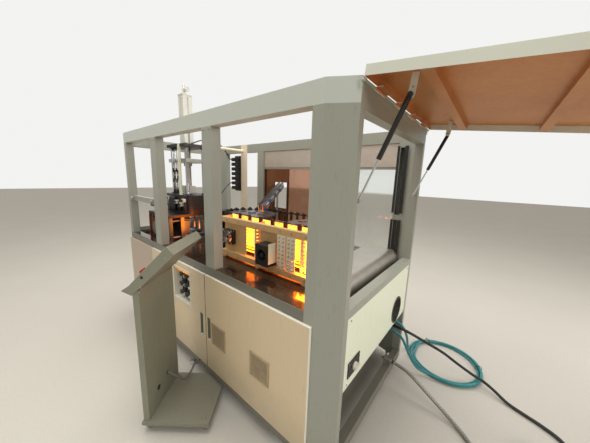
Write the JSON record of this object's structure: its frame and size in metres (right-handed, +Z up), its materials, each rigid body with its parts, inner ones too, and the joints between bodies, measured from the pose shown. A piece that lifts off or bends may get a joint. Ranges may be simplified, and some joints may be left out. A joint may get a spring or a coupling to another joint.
{
  "type": "blow moulding machine",
  "caption": "Guarded stretch blow moulding machine for plastic bottles with lamp oven, mandrel chain, clamp, flap end door on gas struts and a separate operator stand.",
  "frame": {"origin": "centre of the underside of the front right levelling foot, on the floor", "axes": "+X along the machine towards the end with the flap door, +Y from the cabinet doors to the back, +Z up"},
  "size_m": [3.8277, 2.3338, 2.548],
  "materials": {
    "frame_grey": "satin",
    "base_grey": "satin",
    "panel_cream": "satin",
    "door_white": "satin",
    "beige_paint": "satin",
    "stand_grey": "satin",
    "table_steel": "polished",
    "steel": "brushed",
    "dark_steel": "satin",
    "mould_alloy": "machined",
    "white_alloy": "anodised",
    "tinted_glass": "gloss",
    "black_plastic": "matt",
    "black_paint": "satin",
    "red_plastic": "gloss",
    "green_plastic": "gloss",
    "lamp_glass": "gloss",
    "ceramic": "matt",
    "hose_teal": "satin",
    "hose_black": "satin",
    "hose_grey": "satin",
    "brass": "machined"
  },
  "bodies": {
    "frame": {"base_frame": "base_grey", "levelling_feet": "steel", "frame_right": "frame_grey", "frame_left": "frame_grey", "frame_front": "frame_grey", "frame_rear": "frame_grey", "table_plate": "table_steel", "cabinet_panels": "panel_cream", "panel_end_right": "door_white", "rear_window_fixed": "tinted_glass", "main_switch_plate": "black_plastic", "round_vent": "dark_steel", "oven_frame": "beige_paint", "lamp_holders": "ceramic", "ir_lamps": "lamp_glass", "oven_fans": "black_plastic", "conveyor_frame": "dark_steel", "conveyor_chain": "dark_steel", "gearmotor": "dark_steel", "end_cover": "steel", "preform_chute": "beige_paint", "clamp_frame": "dark_steel", "blow_head": "dark_steel", "stretch_cylinder": "white_alloy", "cable_riser": "beige_paint", "valve_manifold": "black_plastic", "electrical_plate": "stand_grey", "air_lines": "hose_black", "console_stand": "stand_grey", "console_box": "stand_grey", "console_cable": "hose_grey", "hose_coil": "hose_teal", "braided_hose": "hose_grey", "hose_end": "brass", "supply_cable": "hose_black", "supply_plug": "red_plastic"},
    "end_door": {"end_door": "door_white"},
    "strut_tube_near": {"strut_tube_near": "black_paint"},
    "strut_rod_near": {"strut_rod_near": "steel"},
    "strut_tube_far": {"strut_tube_far": "black_paint"},
    "strut_rod_far": {"strut_rod_far": "steel"},
    "cabinet_door_left": {"cabinet_door_left": "panel_cream", "regulator_pocket": "black_plastic"},
    "cabinet_door_right": {"cabinet_door_right": "panel_cream", "vent_grilles": "beige_paint"},
    "main_switch_knob": {"main_switch_knob": "white_alloy"},
    "rear_window_sliding": {"rear_window_sliding": "tinted_glass"},
    "fan_rotor": {"fan_rotor": "black_plastic"},
    "sprocket_drive": {"sprocket_drive": "steel"},
    "sprocket_idler": {"sprocket_idler": "steel"},
    "clamp_front": {"platen_front": "steel", "mould_front": "mould_alloy"},
    "clamp_rear": {"platen_rear": "steel", "mould_rear": "mould_alloy"},
    "stretch_carriage": {"stretch_carriage": "steel"},
    "blow_nozzles": {"blow_nozzles": "white_alloy"},
    "e_stop": {"e_stop": "red_plastic"},
    "start_button": {"start_button": "green_plastic"}
  },
  "joints": [
    {"name": "end_door_hinge", "type": "hinge", "parent": "frame", "child": "end_door", "pos_m": [0.116, 0, 2.008], "axis": [0, 1, 0], "range_deg": [0, 83.3]},
    {"name": "strut_near_pivot", "type": "hinge", "parent": "end_door", "child": "strut_tube_near", "pos_m": [0.26749, 0.1, 1.95194], "axis": [0, 1, 0], "range_deg": [-108.08, 0]},
    {"name": "strut_near_stroke", "type": "slide", "parent": "strut_tube_near", "child": "strut_rod_near", "axis": [-0.3839, 0, -0.9234], "range_m": [-0.13635, 0]},
    {"name": "strut_far_pivot", "type": "hinge", "parent": "end_door", "child": "strut_tube_far", "pos_m": [0.26749, 1.07, 1.95194], "axis": [0, 1, 0], "range_deg": [-108.08, 0]},
    {"name": "strut_far_stroke", "type": "slide", "parent": "strut_tube_far", "child": "strut_rod_far", "axis": [-0.3839, 0, -0.9234], "range_m": [-0.13635, 0]},
    {"name": "cabinet_door_left_hinge", "type": "hinge", "parent": "frame", "child": "cabinet_door_left", "pos_m": [-1.913, -0.0603, 0.536], "axis": [0, 0, -1], "range_deg": [0, 9]},
    {"name": "cabinet_door_right_hinge", "type": "hinge", "parent": "frame", "child": "cabinet_door_right", "pos_m": [-0.025, -0.0603, 0.536], "axis": [0, 0, 1], "range_deg": [0, 92]},
    {"name": "main_switch_turn", "type": "hinge", "parent": "frame", "child": "main_switch_knob", "pos_m": [0.11, 0.157, 0.64], "axis": [1, 0, 0], "range_deg": [0, 90]},
    {"name": "rear_window_slide", "type": "slide", "parent": "frame", "child": "rear_window_sliding", "axis": [-1, 0, 0], "range_m": [0, 0.35]},
    {"name": "fan_spin", "type": "hinge", "parent": "frame", "child": "fan_rotor", "pos_m": [-1.127, 0.245, 1.112], "axis": [0, 1, 0], "continuous": true},
    {"name": "sprocket_drive_turn", "type": "hinge", "parent": "frame", "child": "sprocket_drive", "pos_m": [-0.505, 0.63828, 1.253], "axis": [0, 0, 1], "continuous": true},
    {"name": "sprocket_idler_turn", "type": "hinge", "parent": "frame", "child": "sprocket_idler", "pos_m": [-1.285, 0.63828, 1.253], "axis": [0, 0, 1], "continuous": true},
    {"name": "clamp_front_stroke", "type": "slide", "parent": "frame", "child": "clamp_front", "axis": [0, 1, 0], "range_m": [0, 0.0799]},
    {"name": "clamp_rear_stroke", "type": "slide", "parent": "frame", "child": "clamp_rear", "axis": [0, -1, 0], "range_m": [0, 0.0799]},
    {"name": "stretch_stroke", "type": "slide", "parent": "frame", "child": "stretch_carriage", "axis": [0, 0, -1], "range_m": [0, 0.18]},
    {"name": "nozzle_stroke", "type": "slide", "parent": "frame", "child": "blow_nozzles", "axis": [0, 0, -1], "range_m": [0, 0.0065]},
    {"name": "e_stop_push", "type": "slide", "parent": "frame", "child": "e_stop", "axis": [0.5597, 0.4565, -0.6916], "range_m": [0, 0.004]},
    {"name": "start_button_push", "type": "slide", "parent": "frame", "child": "start_button", "axis": [0.5597, 0.4565, -0.6916], "range_m": [0, 0.003], "stiffness_N_per_m": 600}
  ],
  "couplings": [
    {"joint": "strut_near_pivot", "follows": "end_door_hinge", "ratio": -1.2963},
    {"joint": "strut_far_pivot", "follows": "end_door_hinge", "ratio": -1.2963},
    {"joint": "strut_near_stroke", "follows": "end_door_hinge", "m_per_rad": -0.093645},
    {"joint": "strut_far_stroke", "follows": "end_door_hinge", "m_per_rad": -0.093645},
    {"joint": "sprocket_idler_turn", "follows": "sprocket_drive_turn", "ratio": 1},
    {"joint": "clamp_rear_stroke", "follows": "clamp_front_stroke", "ratio": 1}
  ]
}
